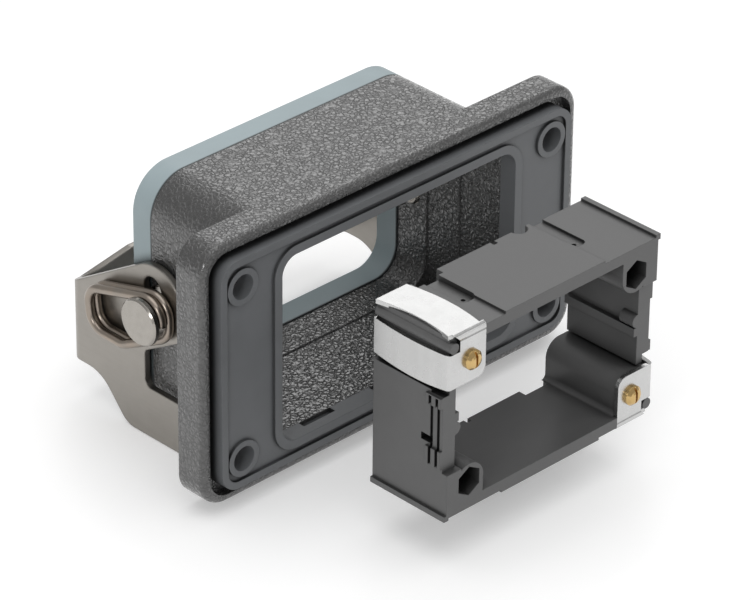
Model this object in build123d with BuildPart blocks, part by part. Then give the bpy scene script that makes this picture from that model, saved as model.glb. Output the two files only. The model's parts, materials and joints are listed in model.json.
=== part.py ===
from build123d import *
from math import radians, tan
import os

# Bulkhead housing of a rectangular power connector, with one locking lever and its module frame.
# Millimetres. X runs along the housing, +Y from the panel to the mating end, +Z is up.
# The origin is the middle of the four mounting holes, in the front plane of the panel gasket.

# Flange, against the panel
flange_length = 85.0
flange_ledge = 2.3
flange_corner_r = 5.0
flange_back = 7.4
rim_front = 1.5
rim_width = 1.5
rim_edge_r = 1.1
recess_corner_r = 4.0
bolt_spacing_x = 70.0
bolt_spacing_z = 32.0
bolt_hole_r = 2.2

# Panel gasket, let into the flange
gasket_groove = 1.3
gasket_back = 3.4
gasket_web_drop = 0.5
gasket_corner_r = 3.6
gasket_ring_width = 1.05
outer_bead_width = 1.3
inner_bead_width = 1.6
opening_lip = 0.2
opening_corner_r = 3.2
relief_x = -16.3
relief_pitch = 16.0
relief_count = 2
relief_length = 7.0
relief_depth = 1.4

# Body and its cavity
body_length = 59.8
body_height = 43.4
body_corner_r = 7.3
body_end = 27.3
wall_end = 3.6
wall_side = 4.5
cavity_corner_r = 5.0
front_zone_end = 13.0
middle_zone_end = 20.4
front_zone_step = 0.5
middle_zone_step = 0.25

# Seal on the mating end
seal_height = 4.8
seal_lip = 0.2
tongue_width = 1.4
tongue_depth = 0.7
tongue_gap = 0.1
tongue_inset = 1.1
seal_edge = 0.4

# Pegs that carry the lever
pivot_y = 24.0
pivot_z = -0.6
peg_r = 2.0
peg_head_r = 4.2
peg_edge = 0.3
peg_head_thickness = 1.0
rivet_r = 1.9
rivet_height = 0.6
washer_r = 4.4
washer_thickness = 0.45
washer_gap = 0.1
leg_gap = 0.05
head_gap = 0.3

# Locking lever, bent from sheet
sheet = 1.2
running_gap = 0.06
bend_r = 2.5
bar_reach = 22.3
bar_top = -2.3
bar_end_top = -4.2
bar_bottom = -18.3
bar_shoulder_x = 18.5
leg_slope = 31.5
head_front = -5.85
head_r = 6.75
neck_bottom = -3.7
neck_r = 2.5
hook_back = 3.6
hook_top = -9.25
hook_bottom = -16.1
hook_corner_r = 1.4
prong_front = -8.5
prong_bottom = -25.5
prong_r = 3.0
knee_y = 8.2
knee_r = 4.0
sole_y = 14.6
sole_r = 7.0
slot_play_y = 1.4
slot_play_z = 4.1

# Spring of the lever, two turns of round wire; the corners count from the pivot
wire_r = 0.8
wire_sides = 12
turn_gap = 0.04
spring_corner_r = 3.2
spring_steps = 58
spring_front = -3.5
spring_front_low = -3.0
spring_top = 5.0
spring_back = 14.7
spring_back_top = -0.3
spring_tail = 13.7
spring_bottom = -7.5
spring_knee = 6.0

# Module frame, drawn out of the cavity as the photograph shows it
frame_front = -34.6
frame_depth = 16.7
frame_length = 47.4
frame_height = 33.6
plateau_rise = 0.45
plateau_length = 22.6
wall_floor = 1.9
wall_side_frame = 2.8
side_wall_setback = 1.2
fix_inset_x = 4.95
fix_inset_z = 5.5
hex_flats = 4.65
hex_depth = 10.0
hex_clear_r = 1.7
hex_block_width = 8.1
hex_boss_r = 3.2
hex_shoulder_rise = 8.5
hex_shoulder_width = 3.2
joint_gap = 0.2
saddle_width = 7.7
saddle_r = 3.0
saddle_foot_r = 0.9
bar_r = 0.95
bar_inset_x = 1.15
bar_inset_z = 2.2
recess_x = 12.6
recess_width = 3.2
recess_length = 10.0
recess_depth = 0.5
recess_end_r = 1.0
dot_r = 0.4
dot_sides = 8
dot_depth = 0.35
dot_from_end = 1.4
rear_step_x = 9.9
rear_step = 1.5
scallop_x = -8.6
scallop_r = 1.6
rear_notch_x = -2.6
rear_notch = 0.9
end_rim = 0.5
rib_start = 0.9
rib_pitch = 1.5
rib_slot = 0.6
rib_slot_depth = 0.5
rib_count = 2
rib_gap = 0.6
rib_length = 13.0
latch_z = -3.2
latch_size = 1.3
latch_depth = 1.4
grip_width = 3.4
grip_rise = 0.5
grip_low = -7.5
grip_low_length = 3.2
grip_high = 3.6
grip_high_length = 1.9
wall_notch_length = 2.6
wall_notch_height = 1.5
nub_r = 1.2
nub_length = 3.0
ledge_height = 1.6
ledge_reach = 0.8

# Ground bracket, screw and its threaded insert
bracket = 0.8
tab_width = 8.1
tab_height = 9.5
tab_corner_r = 1.8
plate_inset = 1.0
plate_bulge = 1.0
plate_edge = 0.3
plate_dip = 1.0
edge_bulge = 0.8
window_height = 3.2
window_width = 2.4
window_dip = 0.5
fold_r = 0.6
screw_head_r = 1.75
screw_head_height = 1.25
screw_dome = 0.75
screw_crown = 0.3
screw_slot = 0.45
screw_slot_depth = 0.6
screw_shank_r = 1.2
screw_length = 7.4
screw_hole_gap = 0.3
insert_r = 2.1
insert_length = 7.0
insert_gap = 0.05

# Sizes that follow
flange_height = body_height + 2 * flange_ledge
cavity_x = body_length / 2 - wall_end
cavity_z = body_height / 2 - wall_side
recess_half_x = flange_length / 2 - rim_width
recess_half_z = flange_height / 2 - rim_width
gasket_x = recess_half_x - gasket_groove
gasket_z = recess_half_z - gasket_groove
opening_x = cavity_x + opening_lip
opening_z = cavity_z + opening_lip
leg_inner = body_length / 2 + washer_thickness + leg_gap
leg_outer = leg_inner + sheet
bend_start = leg_outer - bend_r
spring_inner = leg_outer + turn_gap + wire_r
spring_outer = spring_inner + 2 * wire_r + turn_gap
peg_head_inner = spring_outer + wire_r + head_gap
frame_back = frame_front + frame_depth
mid_y = (frame_front + frame_back) / 2
left = -frame_length / 2
right = frame_length / 2
plate_z = -frame_height / 2
skin_z = frame_height / 2 - plateau_rise
fix_x = frame_length / 2 - fix_inset_x
fix_z = frame_height / 2 - fix_inset_z
joint_height = frame_height / 2 - tab_height
hex_shoulder_z = plate_z + hex_shoulder_rise

os.makedirs("parts", exist_ok=True)


def at_y(y):
    """Plane across the connector at y: its own x and y run along X and Z."""
    return Plane.XZ.offset(-y)


# Die-cast housing
with BuildPart() as housing_shell:
    with BuildSketch(at_y(rim_front)):
        RectangleRounded(flange_length, flange_height, flange_corner_r)
    extrude(amount=rim_front - flange_back)
    fillet(faces().sort_by(Axis.Y)[0].edges(), rim_edge_r)
    with BuildSketch(at_y(rim_front)):
        RectangleRounded(2 * recess_half_x, 2 * recess_half_z, recess_corner_r)
    extrude(amount=rim_front - gasket_back, mode=Mode.SUBTRACT)
    with BuildSketch(at_y(flange_back)):
        RectangleRounded(body_length, body_height, body_corner_r)
    extrude(amount=flange_back - body_end)
    # The cavity narrows in two small steps from the panel side to the mating end
    with BuildSketch(at_y(0)):
        RectangleRounded(2 * cavity_x, 2 * cavity_z, cavity_corner_r)
    extrude(amount=-body_end, mode=Mode.SUBTRACT)
    with BuildSketch(at_y(0)):
        Rectangle(2 * (cavity_x + middle_zone_step), 2 * (cavity_z + middle_zone_step))
    extrude(amount=-middle_zone_end, mode=Mode.SUBTRACT)
    with BuildSketch(at_y(0)):
        Rectangle(2 * (cavity_x + front_zone_step), 2 * (cavity_z + middle_zone_step))
    extrude(amount=-front_zone_end, mode=Mode.SUBTRACT)
    # Groove that holds the tongue of the seal
    with BuildSketch(at_y(body_end)):
        RectangleRounded(
            body_length - 2 * tongue_inset, body_height - 2 * tongue_inset, body_corner_r - tongue_inset)
        offset(amount=-(tongue_width + 2 * tongue_gap), mode=Mode.SUBTRACT)
    extrude(amount=tongue_depth + tongue_gap, mode=Mode.SUBTRACT)
    with BuildSketch(at_y(gasket_back)):
        with GridLocations(bolt_spacing_x, bolt_spacing_z, 2, 2):
            Circle(bolt_hole_r)
    extrude(amount=gasket_back - flange_back, mode=Mode.SUBTRACT)
    with BuildSketch(Plane.YZ):
        with Locations((pivot_y, pivot_z)):
            Circle(peg_r)
    extrude(amount=body_length / 2, both=True, mode=Mode.SUBTRACT)
housing_shell.part.label = "housing_shell"
export_step(housing_shell.part, "parts/housing_shell.step")

# Panel gasket with a raised outer bead, a bead round the opening and rings round the holes
with BuildPart() as flange_gasket:
    with BuildSketch(at_y(gasket_web_drop)):
        RectangleRounded(2 * gasket_x, 2 * gasket_z, gasket_corner_r)
    extrude(amount=gasket_web_drop - gasket_back)
    with BuildSketch(at_y(0)):
        RectangleRounded(2 * gasket_x, 2 * gasket_z, gasket_corner_r)
        offset(amount=-outer_bead_width, mode=Mode.SUBTRACT)
    extrude(amount=-gasket_web_drop)
    with BuildSketch(at_y(0)):
        RectangleRounded(
            2 * (opening_x + inner_bead_width), 2 * (opening_z + inner_bead_width),
            opening_corner_r + inner_bead_width)
    extrude(amount=-gasket_web_drop)
    with BuildSketch(at_y(0)):
        with GridLocations(bolt_spacing_x, bolt_spacing_z, 2, 2):
            Circle(bolt_hole_r + gasket_ring_width)
    extrude(amount=-gasket_web_drop)
    with BuildSketch(at_y(0)):
        RectangleRounded(2 * opening_x, 2 * opening_z, opening_corner_r)
        with GridLocations(bolt_spacing_x, bolt_spacing_z, 2, 2):
            Circle(bolt_hole_r)
    extrude(amount=-gasket_back, mode=Mode.SUBTRACT)
    # Reliefs in the lower lip of the opening, at the back
    with BuildSketch(at_y(gasket_back)):
        for index in range(relief_count):
            with Locations((relief_x + index * relief_pitch, -opening_z)):
                Rectangle(relief_length, relief_depth)
    extrude(amount=relief_depth, mode=Mode.SUBTRACT)
flange_gasket.part.label = "flange_gasket"
export_step(flange_gasket.part, "parts/flange_gasket.step")

# Seal on the mating end, held by a tongue in the housing's groove
with BuildPart() as mating_seal:
    with BuildSketch(at_y(body_end)):
        RectangleRounded(body_length, body_height, body_corner_r)
    extrude(amount=-seal_height)
    chamfer(faces().sort_by(Axis.Y)[-1].edges(), seal_edge)
    with BuildSketch(at_y(body_end)):
        RectangleRounded(
            body_length - 2 * (tongue_inset + tongue_gap), body_height - 2 * (tongue_inset + tongue_gap),
            body_corner_r - tongue_inset - tongue_gap)
    extrude(amount=tongue_depth)
    with BuildSketch(at_y(body_end)):
        RectangleRounded(
            body_length - 2 * (tongue_inset + tongue_gap), body_height - 2 * (tongue_inset + tongue_gap),
            body_corner_r - tongue_inset - tongue_gap)
        offset(amount=-tongue_width, mode=Mode.REPLACE)
    extrude(amount=tongue_depth, mode=Mode.SUBTRACT)
    with BuildSketch(at_y(body_end)):
        RectangleRounded(2 * (cavity_x - seal_lip), 2 * (cavity_z - seal_lip), cavity_corner_r)
    extrude(amount=-seal_height, mode=Mode.SUBTRACT)
mating_seal.part.label = "mating_seal"
export_step(mating_seal.part, "parts/mating_seal.step")

# Locking lever: a U of sheet whose two legs turn on the pegs
with BuildPart() as locking_lever:
    with BuildSketch(Plane.XY.offset(prong_bottom)):
        with Locations((0, pivot_y + prong_front)):
            Rectangle(2 * leg_outer, bar_reach - prong_front, align=(Align.CENTER, Align.MIN))
        fillet(vertices().group_by(Axis.Y)[-1], bend_r)
        with Locations((0, pivot_y + prong_front - 1)):
            Rectangle(
                2 * leg_inner, bar_reach - prong_front + 1 - sheet, align=(Align.CENTER, Align.MIN),
                mode=Mode.SUBTRACT)
    extrude(amount=head_r * 2 - prong_bottom)
    inner_bends = edges().filter_by(Axis.Z).filter_by(
        lambda e: abs(e.center().Y - pivot_y - bar_reach + sheet) < 0.1)
    fillet(inner_bends, bend_r - sheet)
    # Outline of a leg: its upper edge runs straight from the round head down to the bar
    slope = tan(radians(leg_slope))
    far_y = pivot_y + bar_reach + 1
    head_corner = (pivot_y + head_front, bar_end_top + slope * (bar_reach - head_front))
    neck_corner = (pivot_y + head_front, neck_bottom)
    hook_upper = (pivot_y + hook_back, hook_top)
    hook_lower = (pivot_y + hook_back, hook_bottom)
    prong_upper = (pivot_y + prong_front, hook_bottom)
    prong_lower = (pivot_y + prong_front, prong_bottom)
    knee_corner = (pivot_y + knee_y, prong_bottom)
    sole_corner = (pivot_y + sole_y, bar_bottom)
    rounding = (
        (head_corner, head_r),
        (neck_corner, neck_r),
        (hook_upper, hook_corner_r),
        (hook_lower, hook_corner_r),
        (prong_upper, prong_r),
        (prong_lower, prong_r),
        (knee_corner, knee_r),
        (sole_corner, sole_r),
    )
    with BuildSketch(Plane.YZ):
        with BuildLine():
            Polyline(
                (far_y, bar_end_top - slope), head_corner, neck_corner, hook_upper, hook_lower,
                prong_upper, prong_lower, knee_corner, sole_corner, (far_y, bar_bottom), close=True)
        make_face()
        for corner, radius in rounding:
            fillet(vertices().sort_by_distance(Vector(*corner))[0], radius)
    extrude(amount=leg_outer, both=True, mode=Mode.INTERSECT)
    # The bar's upper edge rises between the bends
    with BuildSketch(at_y(pivot_y + bar_reach)):
        with BuildLine():
            Polyline(
                (-bend_start, bar_end_top - sheet), (-bend_start, bar_end_top), (-bar_shoulder_x, bar_top),
                (bar_shoulder_x, bar_top), (bend_start, bar_end_top), (bend_start, bar_end_top - sheet),
                close=True)
        make_face()
    extrude(amount=sheet)
    # Peg slot: the lever turns at its lower end and has play towards the upper one
    with BuildSketch(Plane.YZ):
        with Locations((pivot_y, pivot_z)):
            Circle(peg_r + running_gap)
        with Locations((pivot_y + slot_play_y, pivot_z + slot_play_z)):
            Circle(peg_r + running_gap)
        make_hull()
    extrude(amount=leg_outer, both=True, mode=Mode.SUBTRACT)
locking_lever.part.label = "locking_lever"
export_step(locking_lever.part, "parts/locking_lever.step")

# Pegs, washers and springs, one of each on either end
for name, side in (("left", -1), ("right", 1)):
    outward = -1 if side > 0 else 0
    inward = 0 if side > 0 else -1
    with BuildPart() as lever_peg:
        with BuildSketch(Plane.YZ.offset(side * cavity_x)):
            with Locations((pivot_y, pivot_z)):
                Circle(peg_r)
        extrude(amount=side * (peg_head_inner - cavity_x))
        with BuildSketch(Plane.YZ.offset(side * peg_head_inner)):
            with Locations((pivot_y, pivot_z)):
                Circle(peg_head_r)
        extrude(amount=side * peg_head_thickness)
        chamfer(faces().sort_by(Axis.X)[outward].edges(), peg_edge)
        with BuildSketch(Plane.YZ.offset(side * cavity_x)):
            with Locations((pivot_y, pivot_z)):
                Circle(rivet_r)
        extrude(amount=-side * rivet_height)
        chamfer(faces().sort_by(Axis.X)[inward].edges(), peg_edge)
    lever_peg.part.label = f"lever_peg_{name}"
    export_step(lever_peg.part, f"parts/lever_peg_{name}.step")

    with BuildPart() as peg_washer:
        with BuildSketch(Plane.YZ.offset(side * body_length / 2)):
            with Locations((pivot_y, pivot_z)):
                Circle(washer_r)
                Circle(peg_r + washer_gap, mode=Mode.SUBTRACT)
        extrude(amount=side * washer_thickness)
    peg_washer.part.label = f"peg_washer_{name}"
    export_step(peg_washer.part, f"parts/peg_washer_{name}.step")

    # The wire passes twice round the peg and the lever's middle, and changes plane on its lower run.
    # It is laid in short chords, which keeps its mesh small.
    front_low = (pivot_y + spring_front, pivot_z + spring_front_low)
    front_top = (pivot_y + spring_front, pivot_z + spring_top)
    back_top = (pivot_y + spring_back, pivot_z + spring_back_top)
    back_low = (pivot_y + spring_tail, pivot_z + spring_bottom)
    knee = (pivot_y + spring_knee, pivot_z + spring_bottom)
    wire_start = (pivot_y + spring_front, pivot_z)
    turn_one = [wire_start, front_top, back_top, back_low, knee]
    turn_two = [front_low, front_top, back_top, back_low, knee]
    route = [(side * spring_inner, y, z) for y, z in turn_one]
    route += [(side * spring_outer, y, z) for y, z in turn_two]
    with BuildLine():
        bends = FilletPolyline(*route, radius=spring_corner_r)
    chord = bends.length / spring_steps
    stations = [
        bends.position_at(index * chord, position_mode=PositionMode.LENGTH)
        for index in range(spring_steps + 1)]
    with BuildPart() as lever_spring:
        with BuildLine():
            Polyline(*stations)
        with BuildSketch(Plane(stations[0], z_dir=stations[1] - stations[0])):
            RegularPolygon(wire_r, wire_sides)
        sweep(transition=Transition.RIGHT)
    lever_spring.part.label = f"lever_spring_{name}"
    export_step(lever_spring.part, f"parts/lever_spring_{name}.step")

# Module frame: two equal halves, each an L with a hex block and a saddle block.
# First the outline of the bracket's plate under the floor.
plate_inner = right - tab_width + plate_inset
plate_outer = right - plate_edge
with BuildSketch(Plane.XY.offset(plate_z)) as floor_plate:
    with BuildLine():
        inner_start = (plate_inner, frame_front)
        inner_end = (plate_inner, frame_back)
        outer_start = (plate_outer, frame_back)
        outer_end = (plate_outer, frame_front)
        ThreePointArc(inner_start, (plate_inner - plate_bulge, mid_y), inner_end)
        Line(inner_end, outer_start)
        ThreePointArc(outer_start, (plate_outer - plate_dip, mid_y), outer_end)
        Line(outer_end, inner_start)
    make_face()

# Lower half
with BuildPart() as frame_half_lower:
    # Floor with its raised middle
    with BuildSketch(at_y(frame_front)):
        with Locations((left, -skin_z)):
            Rectangle(frame_length - bracket, wall_floor, align=(Align.MIN, Align.MIN))
        with Locations((0, plate_z)):
            Rectangle(plateau_length, plateau_rise + wall_floor / 2, align=(Align.CENTER, Align.MIN))
    extrude(amount=-frame_depth)
    # Side wall, set back from the front, with a ledge inside
    with BuildSketch(at_y(frame_front + side_wall_setback)):
        with Locations((left, -skin_z)):
            Rectangle(wall_side_frame, skin_z + joint_height - joint_gap, align=(Align.MIN, Align.MIN))
        with Locations((left + wall_side_frame, 0)):
            Rectangle(ledge_reach, ledge_height, align=(Align.MIN, Align.MIN))
    extrude(amount=side_wall_setback - frame_depth)
    # Lap under the other half's bracket
    with BuildSketch(at_y(frame_front)):
        with Locations((left, joint_height)):
            Rectangle(bracket + joint_gap, edge_bulge + joint_gap * 2, align=(Align.MIN, Align.MAX))
    extrude(amount=-frame_depth, mode=Mode.SUBTRACT)
    # Hex block
    with BuildSketch(at_y(frame_front)):
        with Locations((left, -skin_z)):
            Rectangle(hex_block_width, skin_z - fix_z, align=(Align.MIN, Align.MIN))
            Rectangle(hex_shoulder_width, skin_z + hex_shoulder_z, align=(Align.MIN, Align.MIN))
        with Locations((-fix_x, -fix_z)):
            Circle(hex_boss_r)
    extrude(amount=-frame_depth)
    with BuildSketch(at_y(frame_front)):
        with Locations((-fix_x, -fix_z)):
            RegularPolygon(hex_flats / 2, 6, major_radius=False, rotation=30)
    extrude(amount=-hex_depth, mode=Mode.SUBTRACT)
    with BuildSketch(at_y(frame_front)):
        with Locations((-fix_x, -fix_z)):
            Circle(hex_clear_r)
    extrude(amount=-frame_depth, mode=Mode.SUBTRACT)
    # Saddle block behind the bracket's tab
    with BuildSketch(at_y(frame_front + bracket)):
        with Locations((right - bracket, -skin_z)):
            Rectangle(
                saddle_width - bracket, skin_z - joint_height - joint_gap, align=(Align.MAX, Align.MIN))
        fillet(vertices().group_by(Axis.Y)[-1].sort_by(Axis.X)[0], saddle_r)
        with Locations((right - saddle_width, -skin_z + wall_floor)):
            Rectangle(saddle_foot_r, saddle_foot_r, align=(Align.MAX, Align.MIN))
        with Locations((right - saddle_width - saddle_foot_r, -skin_z + wall_floor + saddle_foot_r)):
            Circle(saddle_foot_r, mode=Mode.SUBTRACT)
    extrude(amount=bracket - frame_depth)
    # Seat of the bracket: behind its tab and over its plate
    with BuildSketch(at_y(frame_front)):
        with Locations((right - tab_width, plate_z)):
            Rectangle(tab_width, tab_height, align=(Align.MIN, Align.MIN))
    extrude(amount=-bracket, mode=Mode.SUBTRACT)
    extrude(floor_plate.sketch, amount=bracket, mode=Mode.SUBTRACT)
    # Round bar along the corner, which the bracket leaves open
    with BuildSketch(at_y(frame_front)):
        with Locations((right - bar_inset_x, plate_z + bar_inset_z)):
            Circle(bar_r)
    extrude(amount=-frame_depth)
    # Bore for the threaded insert
    with BuildSketch(at_y(frame_front)):
        with Locations((fix_x, -fix_z)):
            Circle(insert_r)
    extrude(amount=-bracket - insert_length, mode=Mode.SUBTRACT)
    # Rim along the outer lower edge
    with BuildSketch(at_y(frame_front)):
        with Locations((left - end_rim, plate_z)):
            Rectangle(2 * end_rim, 2 * end_rim, align=(Align.MIN, Align.MIN))
    extrude(amount=-frame_depth)
    # Pockets in the floor's outer face, open to the back
    with BuildSketch(Plane.XY.offset(plate_z)):
        for pocket_x in (-recess_x, recess_x):
            with Locations((pocket_x, frame_back)):
                Rectangle(recess_width, recess_length, align=(Align.CENTER, Align.MAX))
        fillet(vertices().group_by(Axis.Y)[0], recess_end_r)
    extrude(amount=plateau_rise + recess_depth, mode=Mode.SUBTRACT)
    with BuildSketch(Plane.XY.offset(plate_z)):
        for pocket_x in (-recess_x, recess_x):
            with Locations((pocket_x, frame_back - recess_length + dot_from_end)):
                RegularPolygon(dot_r, dot_sides)
    extrude(amount=plateau_rise + recess_depth + dot_depth, mode=Mode.SUBTRACT)
    # Stepped back edge of the floor
    with BuildSketch(Plane.XY.offset(plate_z)):
        with Locations((rear_step_x, frame_back)):
            Rectangle(plate_inner - plate_bulge - rear_step_x, rear_step, align=(Align.MIN, Align.MAX))
        with Locations((scallop_x, frame_back)):
            Circle(scallop_r)
        with Locations((rear_notch_x, frame_back)):
            Rectangle(rear_notch, rear_notch, align=(Align.CENTER, Align.MAX))
    extrude(amount=plateau_rise + wall_floor, mode=Mode.SUBTRACT)
    # Raised grips, grooves, latch window, notch and nub at the front of the side wall
    grip_y = frame_front + side_wall_setback
    with BuildSketch(Plane.YZ.offset(left)):
        with Locations((grip_y, grip_low)):
            Rectangle(grip_width, grip_low_length, align=(Align.MIN, Align.MIN))
        with Locations((grip_y, grip_high)):
            Rectangle(grip_width, grip_high_length, align=(Align.MIN, Align.MIN))
    extrude(amount=-grip_rise)
    with BuildSketch(Plane.YZ.offset(left - grip_rise)):
        for index in range(rib_count):
            with Locations((grip_y + rib_start + rib_pitch * index, hex_shoulder_z + rib_gap)):
                Rectangle(rib_slot, rib_length, align=(Align.CENTER, Align.MIN))
    extrude(amount=grip_rise + rib_slot_depth, mode=Mode.SUBTRACT)
    with BuildSketch(Plane.YZ.offset(left)):
        with Locations((grip_y + grip_width, latch_z)):
            Rectangle(2 * latch_size, latch_size)
        with Locations((grip_y, joint_height - joint_gap)):
            Rectangle(wall_notch_length, wall_notch_height, align=(Align.MIN, Align.MAX))
    extrude(amount=latch_depth, mode=Mode.SUBTRACT)
    with BuildSketch(at_y(frame_front + side_wall_setback)):
        with Locations((left + wall_side_frame, -nub_r)):
            Circle(nub_r)
    extrude(amount=-nub_length)
frame_half_lower.part.label = "frame_half_lower"
export_step(frame_half_lower.part, "parts/frame_half_lower.step")

# Bracket of sheet: a tab in front, a plate under the floor and a plate on the side
with BuildPart() as ground_bracket_lower:
    with BuildSketch(at_y(frame_front)):
        with Locations((right, plate_z)):
            Rectangle(tab_width, tab_height, align=(Align.MAX, Align.MIN))
        fillet(vertices().group_by(Axis.Y)[-1].sort_by(Axis.X)[0], tab_corner_r)
    extrude(amount=-bracket)
    extrude(floor_plate.sketch, amount=bracket)
    with BuildSketch(Plane.YZ.offset(right)):
        with BuildLine():
            top = -joint_height
            low = plate_z + window_height
            ThreePointArc((frame_front, top), (mid_y, top + edge_bulge), (frame_back, top))
            Line((frame_back, top), (frame_back, low))
            ThreePointArc((frame_back, low), (mid_y, low + window_dip), (frame_front, low))
            Line((frame_front, low), (frame_front, top))
        make_face()
    extrude(amount=-bracket)
    with BuildSketch(at_y(frame_front)):
        with BuildLine():
            Polyline(
                (right, plate_z), (right, low), (right - window_width, low),
                (right - window_width, plate_z + window_width / 2),
                (right - window_width / 2, plate_z), close=True)
        make_face()
        with Locations((fix_x, -fix_z)):
            Circle(screw_shank_r + screw_hole_gap)
    extrude(amount=-bracket, mode=Mode.SUBTRACT)
    folds = edges().filter_by(
        lambda e: abs(e.center().Y - frame_front) < 0.01
        and (abs(e.center().X - right) < 0.01 or abs(e.center().Z - plate_z) < 0.01))
    fillet(folds, fold_r)
ground_bracket_lower.part.label = "ground_bracket_lower"
export_step(ground_bracket_lower.part, "parts/ground_bracket_lower.step")

# Slotted screw with a domed head, in a threaded insert
with BuildPart() as bracket_screw_lower:
    with BuildSketch(at_y(frame_front)):
        with Locations((fix_x, -fix_z)):
            Circle(screw_head_r)
    extrude(amount=screw_head_height)
    chamfer(faces().sort_by(Axis.Y)[0].edges(), screw_dome)
    chamfer(faces().sort_by(Axis.Y)[0].edges(), screw_crown)
    with BuildSketch(at_y(frame_front - screw_head_height)):
        with Locations((fix_x, -fix_z)):
            Rectangle(screw_slot, 3 * screw_head_r)
    extrude(amount=-screw_slot_depth, mode=Mode.SUBTRACT)
    with BuildSketch(at_y(frame_front)):
        with Locations((fix_x, -fix_z)):
            Circle(screw_shank_r)
    extrude(amount=-screw_length)
bracket_screw_lower.part.label = "bracket_screw_lower"
export_step(bracket_screw_lower.part, "parts/bracket_screw_lower.step")

with BuildPart() as threaded_insert_lower:
    with BuildSketch(at_y(frame_front + bracket)):
        with Locations((fix_x, -fix_z)):
            Circle(insert_r)
            Circle(screw_shank_r + insert_gap, mode=Mode.SUBTRACT)
    extrude(amount=-insert_length)
threaded_insert_lower.part.label = "threaded_insert_lower"
export_step(threaded_insert_lower.part, "parts/threaded_insert_lower.step")

# The upper half and its bracket, screw and insert are the lower ones turned about the frame's axis
with BuildPart() as frame_half_upper:
    add(frame_half_lower.part, rotation=(0, 180, 0))
frame_half_upper.part.label = "frame_half_upper"
export_step(frame_half_upper.part, "parts/frame_half_upper.step")

with BuildPart() as ground_bracket_upper:
    add(ground_bracket_lower.part, rotation=(0, 180, 0))
ground_bracket_upper.part.label = "ground_bracket_upper"
export_step(ground_bracket_upper.part, "parts/ground_bracket_upper.step")

with BuildPart() as bracket_screw_upper:
    add(bracket_screw_lower.part, rotation=(0, 180, 0))
bracket_screw_upper.part.label = "bracket_screw_upper"
export_step(bracket_screw_upper.part, "parts/bracket_screw_upper.step")

with BuildPart() as threaded_insert_upper:
    add(threaded_insert_lower.part, rotation=(0, 180, 0))
threaded_insert_upper.part.label = "threaded_insert_upper"
export_step(threaded_insert_upper.part, "parts/threaded_insert_upper.step")
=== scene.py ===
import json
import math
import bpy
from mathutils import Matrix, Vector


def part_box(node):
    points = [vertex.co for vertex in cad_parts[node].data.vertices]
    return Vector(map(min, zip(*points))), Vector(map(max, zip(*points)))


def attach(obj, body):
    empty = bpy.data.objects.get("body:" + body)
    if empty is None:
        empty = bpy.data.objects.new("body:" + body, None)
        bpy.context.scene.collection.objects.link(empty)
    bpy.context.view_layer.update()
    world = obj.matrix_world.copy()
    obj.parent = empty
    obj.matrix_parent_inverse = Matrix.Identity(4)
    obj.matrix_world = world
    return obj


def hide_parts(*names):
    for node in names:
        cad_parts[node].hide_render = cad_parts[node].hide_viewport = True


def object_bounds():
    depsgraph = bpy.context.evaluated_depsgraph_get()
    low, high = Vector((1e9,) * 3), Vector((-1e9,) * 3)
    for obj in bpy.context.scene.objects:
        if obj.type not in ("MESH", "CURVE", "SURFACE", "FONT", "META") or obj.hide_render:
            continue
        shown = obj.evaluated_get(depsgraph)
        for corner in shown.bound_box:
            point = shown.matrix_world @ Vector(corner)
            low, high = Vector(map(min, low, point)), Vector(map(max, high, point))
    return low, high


bl_info = {
    "name": "Bulkhead Connector Housing",
    "version": (1, 0, 0),
    "blender": (4, 5, 0),
    "location": "View3D > Sidebar > Connector",
    "description": "Finishes a connector housing, its locking lever and its module frame",
    "category": "Object",
}

import bpy
from mathutils import Matrix, Vector

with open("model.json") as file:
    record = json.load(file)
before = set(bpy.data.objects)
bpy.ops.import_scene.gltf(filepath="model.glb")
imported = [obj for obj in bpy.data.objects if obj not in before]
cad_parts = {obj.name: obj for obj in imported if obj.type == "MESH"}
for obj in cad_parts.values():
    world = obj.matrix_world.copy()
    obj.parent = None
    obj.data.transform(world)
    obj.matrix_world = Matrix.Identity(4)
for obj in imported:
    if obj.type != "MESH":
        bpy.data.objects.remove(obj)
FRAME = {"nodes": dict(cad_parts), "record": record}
CAD_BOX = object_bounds()
NODES = FRAME["nodes"]
MM = 0.001

# The picture and its camera
IMAGE_WIDTH = 751
SENSOR_WIDTH = 36.0
CLIP_END = 20.0

# The stage
WHITE = (1, 1, 1, 1)
WORLD_LIGHT = 0.52
FLOOR_SIZE = 6.0
FLOOR_TONE = (0.82, 0.82, 0.82)
FLOOR_MIRRORED_TONE = (0.9, 0.9, 0.9)

# Name, place, size and power of the large soft boxes
LAMPS = (
    ("top_box", (0.0, -0.05, 0.75), 0.9, 3.2),
    ("back_box", (0.62, 0.66, 0.5), 0.45, 0.9),
    ("high_box", (0.5, 0.45, 0.9), 0.14, 0.3),
    ("left_box", (-0.75, -0.35, 0.35), 0.16, 1.2),
    ("right_box", (0.6, -0.7, 0.25), 0.3, 0.35),
)

# Height of the coat over the distance from a wrinkle's edge, and over the noise that joins
# neighbouring wrinkles. Then the painted shade in its folds, and the tone of its lighter clouds.
COAT_DOMES = ((0.0, 0.0), (0.16, 0.6), (0.42, 1.0))
COAT_JOINED = ((0.54, 0.0), (0.7, 0.75))
COAT_FOLD_PAINTED_SHADE = 0.15
COAT_CLOUD_SHADE = 1.5

# Painted shade in a recess over how open it is, and how wide a recess gets painted shade, in
# millimetres
RECESS_PAINTED_SHADES = ((0.38, 0.08), (0.88, 1.0))
RUBBER_SHADE_REACH = 2.2
PLASTIC_SHADE_REACH = 5.0

# A fine line of painted shadow, from the distance where it is full to the one where it ends, and
# its shade
JOINT_SHADOW_LINE = (0.15 * MM, 0.4 * MM)
JOINT_PAINTED_SHADOW = 0.12
CREASE_SHADOW_LINE = (0.06 * MM, 0.2 * MM)
CREASE_PAINTED_SHADE = 0.5

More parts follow.
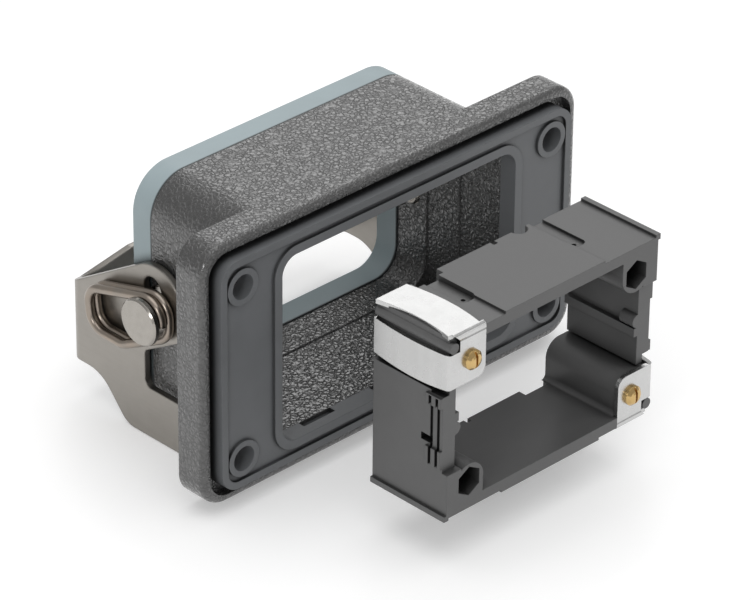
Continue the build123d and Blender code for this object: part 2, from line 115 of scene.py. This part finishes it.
# How far the bend line on a bracket's tab lies inside the bracket's end, and how squarely a face
# looks along Y to carry it
CREASE_DROP = 1.2 * MM
CREASE_FACING = 0.9

# Corners of the lever's spring, as Y and Z from the pivot in millimetres. The wire starts behind
# the peg's head on the outer plane, and changes to the inner plane on the run back under the peg.
SPRING_LOOP = ((-3.5, 5.0), (14.7, -0.3), (13.7, -7.5), (6.0, -7.5))
SPRING_START = (-3.5, 0.0)
SPRING_RETURN = (-3.5, -3.0)

# Fineness of a wire's mesh, and the share of its end runs that their handles take
WIRE_ROUND_STEPS = 5
WIRE_BEND_STEPS = 10
WIRE_END_HANDLE = 0.2
WELD_DISTANCE = 0.00001
SMOOTH_ANGLE = math.radians(50)


# Values read from the frame
def box_centre(node):
    low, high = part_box(node)
    return (low + high) / 2


def hinge_place(name):
    for joint in FRAME["record"]["behaviour"]["joints"]:
        if joint["name"] == name:
            return Vector(joint["pos_m"])
    raise ValueError(f"no joint {name}")


def deselect_all():
    if bpy.context.object and bpy.context.object.mode != "OBJECT":
        bpy.ops.object.mode_set(mode="OBJECT")
    bpy.ops.object.select_all(action="DESELECT")


# Materials
class Finish:
    """A node material, with short calls for the nodes that its finish is made of."""

    def __init__(self, name):
        self.material = bpy.data.materials.new(name)
        self.material.use_nodes = True
        self.tree = self.material.node_tree
        self.shader = self.tree.nodes["Principled BSDF"]
        self.coordinates = self.tree.nodes.new("ShaderNodeTexCoord").outputs["Object"]

    def node(self, kind, inputs=None, **settings):
        made = self.tree.nodes.new(kind)
        for key, value in settings.items():
            setattr(made, key, value)
        for key, value in (inputs or {}).items():
            if isinstance(value, bpy.types.NodeSocket):
                self.tree.links.new(value, made.inputs[key])
            else:
                made.inputs[key].default_value = value
        return made

    def mapped(self, scale=(1, 1, 1), location=(0, 0, 0), rotation=(0, 0, 0)):
        return self.node(
            "ShaderNodeMapping",
            {
                "Vector": self.coordinates,
                "Scale": scale,
                "Location": location,
                "Rotation": rotation,
            },
        ).outputs["Vector"]

    def noise(self, size, detail=3.0, roughness=0.55, distortion=0.0, vector=None):
        """Noise with cells of about this size in millimetres."""
        return self.node(
            "ShaderNodeTexNoise",
            {
                "Vector": vector or self.coordinates,
                "Scale": 1.0 / (size * MM),
                "Detail": detail,
                "Roughness": roughness,
                "Distortion": distortion,
            },
        ).outputs["Fac"]

    def ramp(self, factor, *stops):
        made = self.node("ShaderNodeValToRGB", {"Fac": factor})
        band = made.color_ramp
        while len(band.elements) < len(stops):
            band.elements.new(0.5)
        for element, (place, colour) in zip(band.elements, stops):
            element.position = place
            if isinstance(colour, (int, float)):
                colour = (colour, colour, colour)
            element.color = (*colour[:3], 1.0)
        return made.outputs["Color"]

    def mix(self, factor, low, high, blend_type="MIX"):
        return self.node(
            "ShaderNodeMix",
            {0: factor, 6: (*low, 1.0) if isinstance(low, tuple) else low,
             7: (*high, 1.0) if isinstance(high, tuple) else high},
            data_type="RGBA", blend_type=blend_type,
        ).outputs[2]

    def spread(self, factor, low, high):
        return self.node(
            "ShaderNodeMapRange", {"Value": factor, "To Min": low, "To Max": high}
        ).outputs["Result"]

    def math(self, operation, first, second=0.0):
        return self.node("ShaderNodeMath", {0: first, 1: second}, operation=operation).outputs[0]

    def vector(self, operation, first, second):
        return self.node(
            "ShaderNodeVectorMath", {0: first, 1: second}, operation=operation
        ).outputs[0]

    def painted_recess_shade(self, colour, reach):
        """Paints shade into a colour in grooves and holes up to this many millimetres wide."""
        depth = self.node(
            "ShaderNodeAmbientOcclusion", {"Distance": reach * MM}, samples=8
        ).outputs["AO"]
        return self.mix(1.0, colour, self.ramp(depth, *RECESS_PAINTED_SHADES), blend_type="MULTIPLY")

    def off_line(self, axis, place, reach):
        """0 on a line across an axis and 1 away from it. reach holds both distances."""
        along = self.node("ShaderNodeSeparateXYZ", {0: self.coordinates}).outputs[axis]
        gap = self.math("ABSOLUTE", self.math("SUBTRACT", along, place))
        return self.node(
            "ShaderNodeMapRange", {"Value": gap, "From Min": reach[0], "From Max": reach[1]}
        ).outputs["Result"]

    def bump(self, height, depth, strength=1.0, normal=None):
        """Bump with a depth in millimetres."""
        inputs = {"Height": height, "Distance": depth * MM, "Strength": strength}
        if normal is not None:
            inputs["Normal"] = normal
        return self.node("ShaderNodeBump", inputs).outputs["Normal"]

    def soft_edges(self, radius):
        return self.node("ShaderNodeBevel", {"Radius": radius * MM}, samples=4).outputs["Normal"]

    def connect(self, **inputs):
        names = {
            "colour": "Base Color",
            "roughness": "Roughness",
            "metallic": "Metallic",
            "normal": "Normal",
            "specular": "Specular IOR Level",
            "coat": "Coat Weight",
            "coat_roughness": "Coat Roughness",
            "coat_normal": "Coat Normal",
        }
        for key, value in inputs.items():
            socket = self.shader.inputs[names[key]]
            if isinstance(value, bpy.types.NodeSocket):
                self.tree.links.new(value, socket)
            elif key == "colour":
                socket.default_value = (*value[:3], 1.0)
            else:
                socket.default_value = value
        return self.material


def shade(colour, factor):
    return tuple(min(1.0, channel * factor) for channel in colour[:3])


def cast_finish(settings):
    """Wrinkled black powder coat: glossy plateaus with folds darkened by painted shade, some of
    them joined.
    """
    finish = Finish("cast_powder_coat")
    grain = settings.coat_grain
    wander = finish.node(
        "ShaderNodeTexNoise",
        {"Vector": finish.coordinates, "Scale": 1.0 / (grain * MM), "Detail": 1.0},
    ).outputs["Color"]
    centred = finish.vector("SUBTRACT", wander, (0.5, 0.5, 0.5))
    shift = finish.vector("MULTIPLY", centred, (grain * MM,) * 3)
    cells = finish.node(
        "ShaderNodeTexVoronoi",
        {"Vector": finish.vector("ADD", finish.coordinates, shift), "Scale": 1.0 / (grain * MM)},
        feature="DISTANCE_TO_EDGE",
    ).outputs["Distance"]
    domes = finish.ramp(cells, *COAT_DOMES)
    joined = finish.ramp(finish.noise(grain * 1.3, detail=1.0), *COAT_JOINED)
    plateaus = finish.math("MAXIMUM", domes, joined)
    clouds = finish.noise(3.5, detail=4.0, roughness=0.65)
    coat = tuple(settings.coat_colour)
    # Painted shade: the folds between the plateaus are darkened
    colour = finish.mix(plateaus, shade(coat, COAT_FOLD_PAINTED_SHADE), coat)
    colour = finish.mix(finish.spread(clouds, 0.0, 0.6), colour, shade(coat, COAT_CLOUD_SHADE))
    normal = finish.bump(plateaus, settings.coat_depth, normal=finish.soft_edges(0.25))
    return finish.connect(
        colour=colour,
        roughness=finish.spread(plateaus, 0.65, 0.16),
        normal=normal,
        specular=0.8,
        coat=0.8,
        coat_roughness=0.11,
        coat_normal=normal,
    )


def rubber_finish(name, colour, sheen_size, joint=None):
    """Moulded rubber: an even skin with faint clouds, a very fine grain and painted shade in its
    grooves and holes.

    joint is the Y of the plane where the piece meets the housing, shown as a fine line of painted
    shadow.
    """
    finish = Finish(name)
    clouds = finish.noise(sheen_size, detail=4.0)
    grain = finish.noise(0.22, detail=2.0)
    base = finish.mix(clouds, shade(colour, 0.86), shade(colour, 1.14))
    # Painted shade in grooves and holes, darker where less open sky is seen
    base = finish.painted_recess_shade(base, RUBBER_SHADE_REACH)
    if joint is not None:
        # Painted shadow: a fine dark line where the seal meets the housing
        base = finish.mix(finish.off_line("Y", joint, JOINT_SHADOW_LINE), shade(colour, JOINT_PAINTED_SHADOW), base)
    return finish.connect(
        colour=base,
        roughness=finish.spread(clouds, 0.4, 0.54),
        normal=finish.bump(grain, 0.006, normal=finish.soft_edges(0.2)),
        specular=0.45,
    )


def sheet_finish(name, colour, roughness, brushing, edge=0.15, crease=None):
    """Rolled sheet: lines along the rolling direction, with cloudy patches.

    crease is the Z of a fine bend line, a bump with painted shade, across the faces that look along
    Y.
    """
    finish = Finish(name)
    lines = finish.noise(1.0, detail=2.5, roughness=0.6, vector=finish.mapped(scale=brushing))
    clouds = finish.noise(5.0, detail=5.0, roughness=0.6)
    base = finish.mix(clouds, shade(colour, 0.84), shade(colour, 1.08))
    base = finish.mix(finish.spread(lines, 0.0, 0.25), base, shade(colour, 0.7))
    rough = finish.math(
        "ADD",
        finish.spread(clouds, roughness * 0.8, roughness * 1.25),
        finish.spread(lines, -0.04, 0.04),
    )
    normal = finish.bump(lines, 0.002, normal=finish.soft_edges(edge))
    if crease is not None:
        direction = finish.node("ShaderNodeNewGeometry").outputs["True Normal"]
        facing = finish.node("ShaderNodeSeparateXYZ", {0: direction}).outputs["Y"]
        other_face = finish.math("LESS_THAN", finish.math("ABSOLUTE", facing), CREASE_FACING)
        plain = finish.math("MAXIMUM", finish.off_line("Z", crease, CREASE_SHADOW_LINE), other_face)
        # Painted shade along the bend line, over which the bump also runs
        base = finish.mix(plain, shade(colour, CREASE_PAINTED_SHADE), base)
        normal = finish.bump(plain, 0.05, normal=normal)
    return finish.connect(colour=base, metallic=1.0, roughness=rough, normal=normal)


def wire_finish(settings):
    """Drawn spring wire with a brown temper tint."""
    finish = Finish("spring_wire")
    tint = finish.noise(3.0, detail=4.0)
    lines = finish.noise(0.3, detail=3.0)
    colour = finish.mix(tint, tuple(settings.wire_colour), shade(settings.steel_colour, 0.8))
    return finish.connect(
        colour=colour,
        metallic=1.0,
        roughness=finish.spread(tint, 0.24, 0.38),
        normal=finish.bump(lines, 0.003),
    )


def turned_finish(name, colour, axis_place, axis, ring, roughness):
    """Turned metal: rings of this width in millimetres round the axis of turning."""
    finish = Finish(name)
    centred = finish.mapped(location=tuple(-value for value in axis_place))
    rings = finish.node(
        "ShaderNodeTexWave",
        {
            "Vector": centred,
            "Scale": 1.0 / (ring * MM) / math.tau,
            "Distortion": 0.8,
            "Detail": 2.0,
        },
        wave_type="RINGS", rings_direction=axis,
    ).outputs["Fac"]
    clouds = finish.noise(1.5, detail=4.0)
    base = finish.mix(clouds, shade(colour, 0.85), shade(colour, 1.1))
    return finish.connect(
        colour=base,
        metallic=1.0,
        roughness=finish.spread(clouds, roughness * 0.8, roughness * 1.2),
        normal=finish.bump(rings, 0.004, normal=finish.soft_edges(0.1)),
    )


def plastic_finish(settings):
    """Black moulded plastic with a fine grain, faint flow marks and painted shade in grooves and
    holes.
    """
    finish = Finish("frame_plastic")
    drawn_out = finish.mapped(scale=(0.5, 1.0, 1.0))
    flow = finish.noise(9.0, detail=5.0, distortion=1.5, vector=drawn_out)
    grain = finish.noise(0.14, detail=2.0)
    colour = settings.plastic_colour
    base = finish.mix(flow, shade(colour, 0.85), shade(colour, 1.15))
    # Painted shade in grooves and holes, darker where less open sky is seen
    base = finish.painted_recess_shade(base, PLASTIC_SHADE_REACH)
    return finish.connect(
        colour=base,
        roughness=finish.spread(flow, 0.36, 0.48),
        normal=finish.bump(grain, 0.007, normal=finish.soft_edges(0.16)),
        specular=0.5,
    )


def dress(names, material):
    for name in names:
        piece = NODES[name]
        piece.data.materials.clear()
        piece.data.materials.append(material)


def rounded_wire(name, corners, bend, thickness):
    """A round wire along straight runs, with corners rounded to the radius bend and closed ends."""
    deselect_all()
    bpy.ops.curve.primitive_bezier_curve_add(location=(0, 0, 0))
    wire = bpy.context.object
    wire.name = name
    wire.data.dimensions = "3D"
    wire.data.bevel_depth = thickness / 2
    wire.data.bevel_resolution = WIRE_ROUND_STEPS
    wire.data.resolution_u = WIRE_BEND_STEPS
    wire.data.use_fill_caps = True
    # Each knot is a place with its left and right handles, and a bend has a knot at either end
    knots = [(corners[0], corners[0], corners[0].lerp(corners[1], WIRE_END_HANDLE))]
    for before, corner, after in zip(corners, corners[1:], corners[2:]):
        inward, outward = (corner - before).normalized(), (after - corner).normalized()
        turn = inward.angle(outward)
        reach, handle = bend * math.tan(turn / 2), bend * math.tan(turn / 4) * 4 / 3
        first, last = corner - inward * reach, corner + outward * reach
        knots.append((first, first - inward * handle / 2, first + inward * handle))
        knots.append((last, last - outward * handle, last + outward * handle / 2))
    knots.append((corners[-1], corners[-1].lerp(corners[-2], WIRE_END_HANDLE), corners[-1]))
    spline = wire.data.splines[0]
    spline.bezier_points.add(len(knots) - len(spline.bezier_points))
    for point, (place, left, right) in zip(spline.bezier_points, knots):
        point.handle_left_type = point.handle_right_type = "FREE"
        point.co, point.handle_left, point.handle_right = place, left, right
    bpy.ops.object.convert(target="MESH")
    bpy.ops.object.mode_set(mode="EDIT")
    bpy.ops.mesh.select_all(action="SELECT")
    bpy.ops.mesh.remove_doubles(threshold=WELD_DISTANCE)
    bpy.ops.mesh.normals_make_consistent(inside=False)
    bpy.ops.object.mode_set(mode="OBJECT")
    bpy.ops.object.shade_smooth_by_angle(angle=SMOOTH_ANGLE)
    return bpy.context.object


# Settings that a user would change
class ConnectorSettings(bpy.types.PropertyGroup):
    coat_colour: bpy.props.FloatVectorProperty(
        name="Powder coat", description="Colour of the housing's coat", subtype="COLOR",
        default=(0.028, 0.0275, 0.027), min=0.0, max=1.0)
    coat_grain: bpy.props.FloatProperty(
        name="Coat grain", description="Size of the coat's wrinkles in millimetres",
        default=0.85, min=0.1, max=5.0)
    coat_depth: bpy.props.FloatProperty(
        name="Coat depth", description="Depth of the coat's folds in millimetres",
        default=0.085, min=0.0, max=0.5)
    gasket_colour: bpy.props.FloatVectorProperty(
        name="Gasket", description="Colour of the panel gasket", subtype="COLOR",
        default=(0.12, 0.125, 0.131), min=0.0, max=1.0)
    seal_colour: bpy.props.FloatVectorProperty(
        name="Seal", description="Colour of the seal on the mating end", subtype="COLOR",
        default=(0.31, 0.375, 0.395), min=0.0, max=1.0)
    steel_colour: bpy.props.FloatVectorProperty(
        name="Lever steel", description="Colour of the lever's sheet", subtype="COLOR",
        default=(0.31, 0.292, 0.267), min=0.0, max=1.0)
    wire_colour: bpy.props.FloatVectorProperty(
        name="Spring wire", description="Colour of the spring wire", subtype="COLOR",
        default=(0.35, 0.282, 0.225), min=0.0, max=1.0)
    wire_thickness: bpy.props.FloatProperty(
        name="Wire thickness", description="Diameter of the spring wire", subtype="DISTANCE",
        default=1.6 * MM, min=0.5 * MM, max=1.6 * MM)
    wire_bend: bpy.props.FloatProperty(
        name="Wire bend", description="Radius of the spring's corners", subtype="DISTANCE",
        default=3.4 * MM, min=1.0 * MM, max=3.4 * MM)
    plastic_colour: bpy.props.FloatVectorProperty(
        name="Frame plastic", description="Colour of the module frame", subtype="COLOR",
        default=(0.092, 0.092, 0.092), min=0.0, max=1.0)
    plate_colour: bpy.props.FloatVectorProperty(
        name="Bracket", description="Colour of the bright ground brackets", subtype="COLOR",
        default=(0.56, 0.56, 0.556), min=0.0, max=1.0)
    brass_colour: bpy.props.FloatVectorProperty(
        name="Brass", description="Colour of the screws and inserts", subtype="COLOR",
        default=(0.55, 0.38, 0.165), min=0.0, max=1.0)
    camera_azimuth: bpy.props.FloatProperty(
        name="Azimuth", description="Direction of the camera round the part", subtype="ANGLE",
        default=math.radians(-44.632))
    camera_elevation: bpy.props.FloatProperty(
        name="Elevation", description="Height angle of the camera", subtype="ANGLE",
        default=math.radians(30.725))
    camera_roll: bpy.props.FloatProperty(
        name="Roll", description="Turn of the picture about the view axis", subtype="ANGLE",
        default=math.radians(0.597))
    camera_distance: bpy.props.FloatProperty(
        name="Distance", description="Distance from the camera to the origin", subtype="DISTANCE",
        default=0.7788)
    camera_shift: bpy.props.FloatVectorProperty(
        name="Aim", description="Sideways and upward place of the camera in its own plane", size=2,
        subtype="TRANSLATION", default=(-0.004086, -0.000584))
    focal_pixels: bpy.props.FloatProperty(
        name="Focal length in pixels", description="Focal length over the width of one pixel",
        default=4765.4)
    floor_gap: bpy.props.FloatProperty(
        name="Floor gap", description="Space between the part and the floor", subtype="DISTANCE",
        default=0.0002)
    floor_glow: bpy.props.FloatProperty(
        name="Floor glow", description="Light that the floor adds where it is seen or mirrored",
        default=0.28, min=0.0, max=2.0)


class CONNECTOR_OT_housing(bpy.types.Operator):
    """Gives the die-cast housing its wrinkled powder coat"""
    bl_idname = "connector.housing"
    bl_label = "Housing"

    def execute(self, context):
        dress(["housing_shell"], cast_finish(context.scene.connector))
        return {"FINISHED"}


class CONNECTOR_OT_seals(bpy.types.Operator):
    """Gives the panel gasket and the mating seal their rubber"""
    bl_idname = "connector.seals"
    bl_label = "Gasket and Seal"

    def execute(self, context):
        settings = context.scene.connector
        dress(["flange_gasket"], rubber_finish("gasket_rubber", settings.gasket_colour, 6.0))
        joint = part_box("housing_shell")[1].y
        dress(["mating_seal"], rubber_finish("seal_rubber", settings.seal_colour, 9.0, joint))
        return {"FINISHED"}


class CONNECTOR_OT_lever(bpy.types.Operator):
    """Finishes the locking lever, its springs, pegs and washers"""
    bl_idname = "connector.lever"
    bl_label = "Lever"

    def execute(self, context):
        settings = context.scene.connector
        steel = sheet_finish(
            "lever_sheet", settings.steel_colour, 0.32, (0.12, 0.12, 2.0), edge=0.5)
        dress(["locking_lever"], steel)
        wire = wire_finish(settings)
        for end, outer, inner in (("left", 0, 1), ("right", 1, 0)):
            self.spring(settings, end, outer, inner).data.materials.append(wire)
        peg = box_centre("lever_peg_left")
        pegs = turned_finish(
            "peg_steel", shade(settings.steel_colour, 1.15), (0.0, peg.y, peg.z), "X", 0.18, 0.24)
        dress(["lever_peg_left", "lever_peg_right", "peg_washer_left", "peg_washer_right"], pegs)
        return {"FINISHED"}

    def spring(self, settings, end, outer, inner):
        """Two smooth turns of wire between the leg and the peg's head, for the plain solid."""
        node = f"lever_spring_{end}"
        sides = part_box(node)
        middle = (sides[0].x + sides[1].x) / 2
        step = math.copysign(settings.wire_thickness / 2, sides[outer].x - middle)
        outside, inside = sides[outer].x - step, sides[inner].x + step
        pivot = hinge_place("lever_hinge")
        route = [(outside, SPRING_START)]
        route += [(outside, corner) for corner in SPRING_LOOP]
        route += [(inside, SPRING_RETURN)]
        route += [(inside, corner) for corner in SPRING_LOOP]
        corners = [Vector((x, pivot.y + y * MM, pivot.z + z * MM)) for x, (y, z) in route]
        spring = rounded_wire(
            f"wire_spring_{end}", corners, settings.wire_bend, settings.wire_thickness)
        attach(spring, "lever")
        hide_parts(node)
        return spring


class CONNECTOR_OT_frame(bpy.types.Operator):
    """Gives the two frame halves their moulded plastic"""
    bl_idname = "connector.frame"
    bl_label = "Module Frame"

    def execute(self, context):
        dress(["frame_half_lower", "frame_half_upper"], plastic_finish(context.scene.connector))
        return {"FINISHED"}


class CONNECTOR_OT_brackets(bpy.types.Operator):
    """Finishes the ground brackets, their screws and the threaded inserts"""
    bl_idname = "connector.brackets"
    bl_label = "Brackets and Screws"

    def execute(self, context):
        settings = context.scene.connector
        low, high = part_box("ground_bracket_lower"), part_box("ground_bracket_upper")
        creases = {"lower": low[0].z + CREASE_DROP, "upper": high[1].z - CREASE_DROP}
        for level, crease in creases.items():
            plate = sheet_finish(
                f"bracket_plate_{level}", settings.plate_colour, 0.26, (0.5, 0.5, 0.02),
                crease=crease)
            dress([f"ground_bracket_{level}"], plate)
            place = box_centre(f"bracket_screw_{level}")
            brass = turned_finish(
                f"brass_{level}", settings.brass_colour, (place.x, 0.0, place.z), "Y", 0.12, 0.2)
            dress([f"bracket_screw_{level}", f"threaded_insert_{level}"], brass)
        return {"FINISHED"}


class CONNECTOR_OT_stage(bpy.types.Operator):
    """Sets up the floor, the soft lights, the world and the camera"""
    bl_idname = "connector.stage"
    bl_label = "Stage"

    def execute(self, context):
        settings = context.scene.connector
        self.floor(settings)
        self.world(context.scene)
        self.lamps()
        self.camera(context.scene, settings)
        context.scene.view_settings.view_transform = "Standard"
        return {"FINISHED"}

    def floor(self, settings):
        deselect_all()
        bpy.ops.mesh.primitive_plane_add(size=FLOOR_SIZE, location=(0, 0, 0))
        floor = bpy.context.object
        floor.name = "floor"
        floor.data.transform(Matrix.Translation((0, 0, CAD_BOX[0][2] - settings.floor_gap)))
        # The floor shows white to the camera and to the metal that mirrors it
        finish = Finish("floor_white")
        path = finish.node("ShaderNodeLightPath")
        tone = finish.mix(path.outputs["Is Glossy Ray"], FLOOR_TONE, FLOOR_MIRRORED_TONE)
        finish.connect(colour=tone, roughness=0.9, specular=0.0)
        glow = finish.node(
            "ShaderNodeEmission", {"Color": WHITE, "Strength": settings.floor_glow})
        both = finish.node("ShaderNodeAddShader")
        seen = finish.math("MAXIMUM", path.outputs["Is Camera Ray"], path.outputs["Is Glossy Ray"])
        blend = finish.node("ShaderNodeMixShader", {0: seen})
        tree = finish.tree
        tree.links.new(finish.shader.outputs[0], both.inputs[0])
        tree.links.new(glow.outputs[0], both.inputs[1])
        tree.links.new(finish.shader.outputs[0], blend.inputs[1])
        tree.links.new(both.outputs[0], blend.inputs[2])
        tree.links.new(blend.outputs[0], tree.nodes["Material Output"].inputs["Surface"])
        floor.data.materials.append(finish.material)

    def world(self, scene):
        world = bpy.data.worlds.new("studio")
        scene.world = world
        world.use_nodes = True
        tree = world.node_tree
        background = tree.nodes["Background"]
        background.inputs["Color"].default_value = WHITE
        background.inputs["Strength"].default_value = WORLD_LIGHT
        white = tree.nodes.new("ShaderNodeBackground")
        white.inputs["Color"].default_value = WHITE
        white.inputs["Strength"].default_value = 1.0
        path = tree.nodes.new("ShaderNodeLightPath")
        choose = tree.nodes.new("ShaderNodeMixShader")
        tree.links.new(path.outputs["Is Camera Ray"], choose.inputs[0])
        tree.links.new(background.outputs[0], choose.inputs[1])
        tree.links.new(white.outputs[0], choose.inputs[2])
        tree.links.new(choose.outputs[0], tree.nodes["World Output"].inputs["Surface"])

    def lamps(self):
        for name, place, size, power in LAMPS:
            data = bpy.data.lights.new(name, "AREA")
            data.shape = "SQUARE"
            data.size = size
            data.energy = power
            lamp = bpy.data.objects.new(name, data)
            bpy.context.scene.collection.objects.link(lamp)
            aim = Vector((0, 0, 0)) - Vector(place)
            turn = aim.to_track_quat("-Z", "Y").to_matrix().to_4x4()
            lamp.matrix_world = Matrix.Translation(place) @ turn

    def camera(self, scene, settings):
        azimuth, elevation = settings.camera_azimuth, settings.camera_elevation
        back = Vector((
            math.sin(azimuth) * math.cos(elevation),
            -math.cos(azimuth) * math.cos(elevation),
            math.sin(elevation),
        ))
        level = Vector((math.cos(azimuth), math.sin(azimuth), 0))
        upright = back.cross(level)
        cosine, sine = math.cos(settings.camera_roll), math.sin(settings.camera_roll)
        right = cosine * level + sine * upright
        up = cosine * upright - sine * level
        sideways, upward = settings.camera_shift
        place = sideways * right + upward * up + settings.camera_distance * back
        data = bpy.data.cameras.new("photo_camera")
        data.sensor_width = SENSOR_WIDTH
        data.lens = settings.focal_pixels * SENSOR_WIDTH / IMAGE_WIDTH
        data.clip_end = CLIP_END
        camera = bpy.data.objects.new("photo_camera", data)
        scene.collection.objects.link(camera)
        turn = Matrix((right, up, back)).transposed().to_4x4()
        camera.matrix_world = Matrix.Translation(place) @ turn
        scene.camera = camera


class CONNECTOR_PT_panel(bpy.types.Panel):
    """Lists the settings and the operators"""
    bl_idname = "CONNECTOR_PT_panel"
    bl_label = "Connector"
    bl_space_type = "VIEW_3D"
    bl_region_type = "UI"
    bl_category = "Connector"

    def draw(self, context):
        settings = context.scene.connector
        for name in settings.bl_rna.properties.keys():
            if name not in ("rna_type", "name"):
                self.layout.prop(settings, name)
        for step in STEPS:
            self.layout.operator(step.bl_idname)


STEPS = (
    CONNECTOR_OT_housing,
    CONNECTOR_OT_seals,
    CONNECTOR_OT_lever,
    CONNECTOR_OT_frame,
    CONNECTOR_OT_brackets,
    CONNECTOR_OT_stage,
)
CLASSES = (ConnectorSettings, *STEPS, CONNECTOR_PT_panel)


def register():
    for cls in CLASSES:
        bpy.utils.register_class(cls)
    bpy.types.Scene.connector = bpy.props.PointerProperty(type=ConnectorSettings)


def unregister():
    del bpy.types.Scene.connector
    for cls in reversed(CLASSES):
        bpy.utils.unregister_class(cls)


def main():
    register()
    bpy.ops.connector.housing()
    bpy.ops.connector.seals()
    bpy.ops.connector.lever()
    bpy.ops.connector.frame()
    bpy.ops.connector.brackets()
    bpy.ops.connector.stage()


if __name__ == "__main__":
    main()
